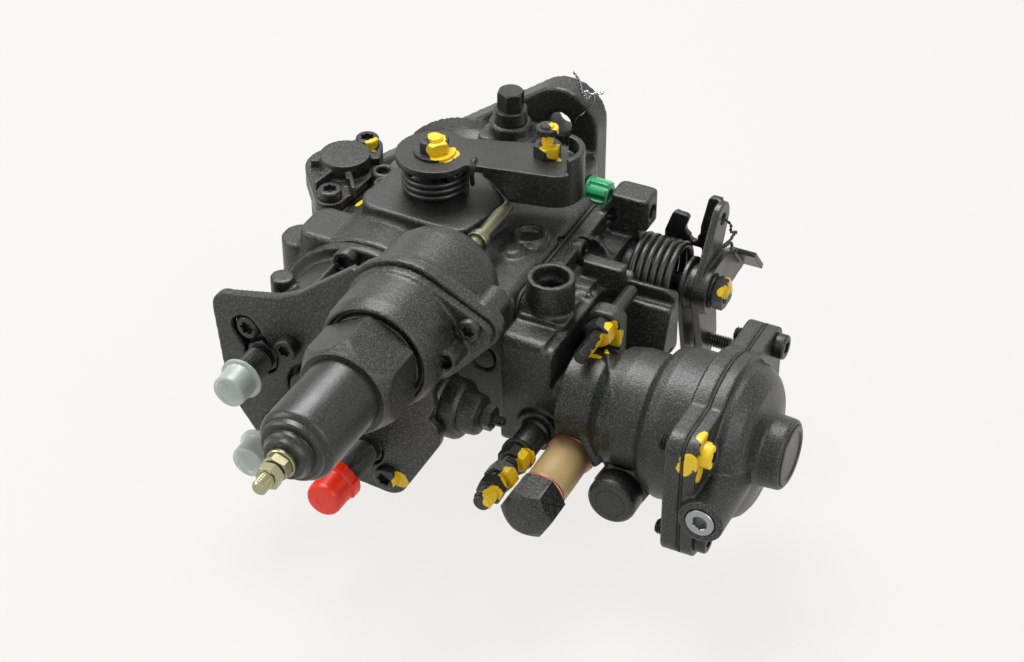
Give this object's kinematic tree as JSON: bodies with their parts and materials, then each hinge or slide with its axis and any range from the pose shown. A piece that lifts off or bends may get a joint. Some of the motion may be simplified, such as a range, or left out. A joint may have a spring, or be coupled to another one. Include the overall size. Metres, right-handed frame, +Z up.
{
  "type": "diesel injection pump",
  "caption": "Distributor diesel injection pump with flanged drive end, governor cover, throttle lever, boost unit, cold-start actuator and capped outlets.",
  "frame": {"origin": "centre of the drive-flange face, on the shaft axis", "axes": "+Y along the drive shaft towards the engine, +X towards the governor cover, +Z up as pictured"},
  "size_m": [0.2446, 0.32, 0.144],
  "materials": {
    "black_casting": "satin, cast texture",
    "black_steel": "satin",
    "bare_steel": "machined",
    "bronze": "machined",
    "yellow_zinc": "yellow chromate",
    "copper": "soft washer",
    "tan_sleeve": "matte",
    "clear_plastic": "milky",
    "red_plastic": "satin",
    "green_plastic": "satin",
    "black_rubber": "matte",
    "gasket": "matte"
  },
  "bodies": {
    "housing": {"pump_housing": "black_casting", "cover_gasket": "gasket", "governor_cover": "black_casting", "cover_screws": "black_steel", "boost_cover": "black_casting", "boost_diaphragm": "black_rubber", "boost_screws": "black_steel", "boost_spring": "bare_steel", "boost_center_plug": "black_steel", "boost_port_plug": "bare_steel", "boost_side_plug": "black_steel", "distributor_head": "black_casting", "head_screws": "black_steel", "delivery_valves": "black_steel", "clear_caps": "clear_plastic", "red_cap": "red_plastic", "head_plug": "black_steel", "bracket_plate": "black_casting", "plate_screws": "black_steel", "solenoid_body": "black_casting", "solenoid_terminal": "black_steel", "wax_dome": "black_casting", "wax_body": "black_casting", "wax_nut": "black_casting", "wax_element": "black_steel", "terminal_stud": "yellow_zinc", "cold_start_shaft": "black_steel", "cold_start_spring": "black_steel", "timing_covers": "black_casting", "timing_cover_screws": "black_steel", "timing_spring": "bare_steel", "lock_bolt": "black_steel", "inlet_plug": "green_plastic", "throttle_spring": "black_steel", "speed_screw": "black_steel", "full_load_screw": "black_steel", "overflow_bolt": "black_steel", "overflow_sleeve": "tan_sleeve", "copper_washers": "copper", "shaft_bush": "bronze", "shaft_seal": "black_rubber", "vane_ring": "bare_steel", "governor_shaft": "bare_steel", "plunger_spring": "bare_steel"},
    "shaft": {"drive_shaft": "bare_steel", "vane_rotor": "bare_steel", "cam_plate": "bare_steel", "plunger": "bare_steel"},
    "carrier": {"governor_carrier": "bare_steel"},
    "sleeve": {"governor_sleeve": "bare_steel"},
    "spool": {"control_spool": "bare_steel"},
    "roller_cage": {"roller_ring": "bare_steel"},
    "advance_piston": {"timing_piston": "bare_steel"},
    "cold_lever": {"cold_start_lever": "black_steel", "stop_screw": "black_steel"},
    "rod": {"push_rod": "yellow_zinc"},
    "throttle": {"throttle_lever": "black_steel", "throttle_shaft": "black_steel"},
    "boost": {"boost_pin": "bare_steel"},
    "shutoff": {"solenoid_plunger": "bare_steel"}
  },
  "joints": [
    {"name": "shaft_spin", "type": "hinge", "parent": "housing", "child": "shaft", "pos_m": [0, 0, 0], "axis": [0, 1, 0], "continuous": true},
    {"name": "carrier_spin", "type": "hinge", "parent": "housing", "child": "carrier", "pos_m": [0.051, 0, 0], "axis": [0, 1, 0], "continuous": true},
    {"name": "sleeve_slide", "type": "slide", "parent": "housing", "child": "sleeve", "axis": [0, 1, 0], "range_m": [-0.005, 0]},
    {"name": "spool_slide", "type": "slide", "parent": "housing", "child": "spool", "axis": [0, 1, 0], "range_m": [-0.003, 0.004]},
    {"name": "ring_turn", "type": "hinge", "parent": "housing", "child": "roller_cage", "pos_m": [0, 0, 0], "axis": [0, 1, 0], "range_deg": [-4.5, 4.5]},
    {"name": "advance_slide", "type": "slide", "parent": "housing", "child": "advance_piston", "axis": [0, 0, 1], "range_m": [-0.004, 0.004], "deforming": ["timing_spring"]},
    {"name": "lever_turn", "type": "hinge", "parent": "housing", "child": "cold_lever", "pos_m": [0.0095, -0.072, 0], "axis": [0, 0, 1], "range_deg": [0, 8.5], "stiffness_Nm_per_rad": 0.8, "springref_deg": -17.19},
    {"name": "rod_slide", "type": "slide", "parent": "housing", "child": "rod", "axis": [0, 1, 0], "range_m": [0, 0.005]},
    {"name": "throttle_turn", "type": "hinge", "parent": "housing", "child": "throttle", "pos_m": [0, -0.045, 0.012], "axis": [1, 0, 0], "range_deg": [0, 45], "stiffness_Nm_per_rad": 0.4, "springref_deg": -28.65},
    {"name": "boost_slide", "type": "slide", "parent": "housing", "child": "boost", "axis": [1, 0, 0], "range_m": [-0.004, 0], "stiffness_N_per_m": 1500, "springref_m": 0.004},
    {"name": "shutoff_slide", "type": "slide", "parent": "housing", "child": "shutoff", "axis": [1, 0, 0], "range_m": [0, 0.003], "stiffness_N_per_m": 400, "springref_m": -0.004}
  ],
  "couplings": [
    {"joint": "carrier_spin", "follows": "shaft_spin", "ratio": -1.2667},
    {"joint": "advance_slide", "follows": "ring_turn", "m_per_rad": 0.0415},
    {"joint": "rod_slide", "follows": "lever_turn", "m_per_rad": 0.029}
  ]
}
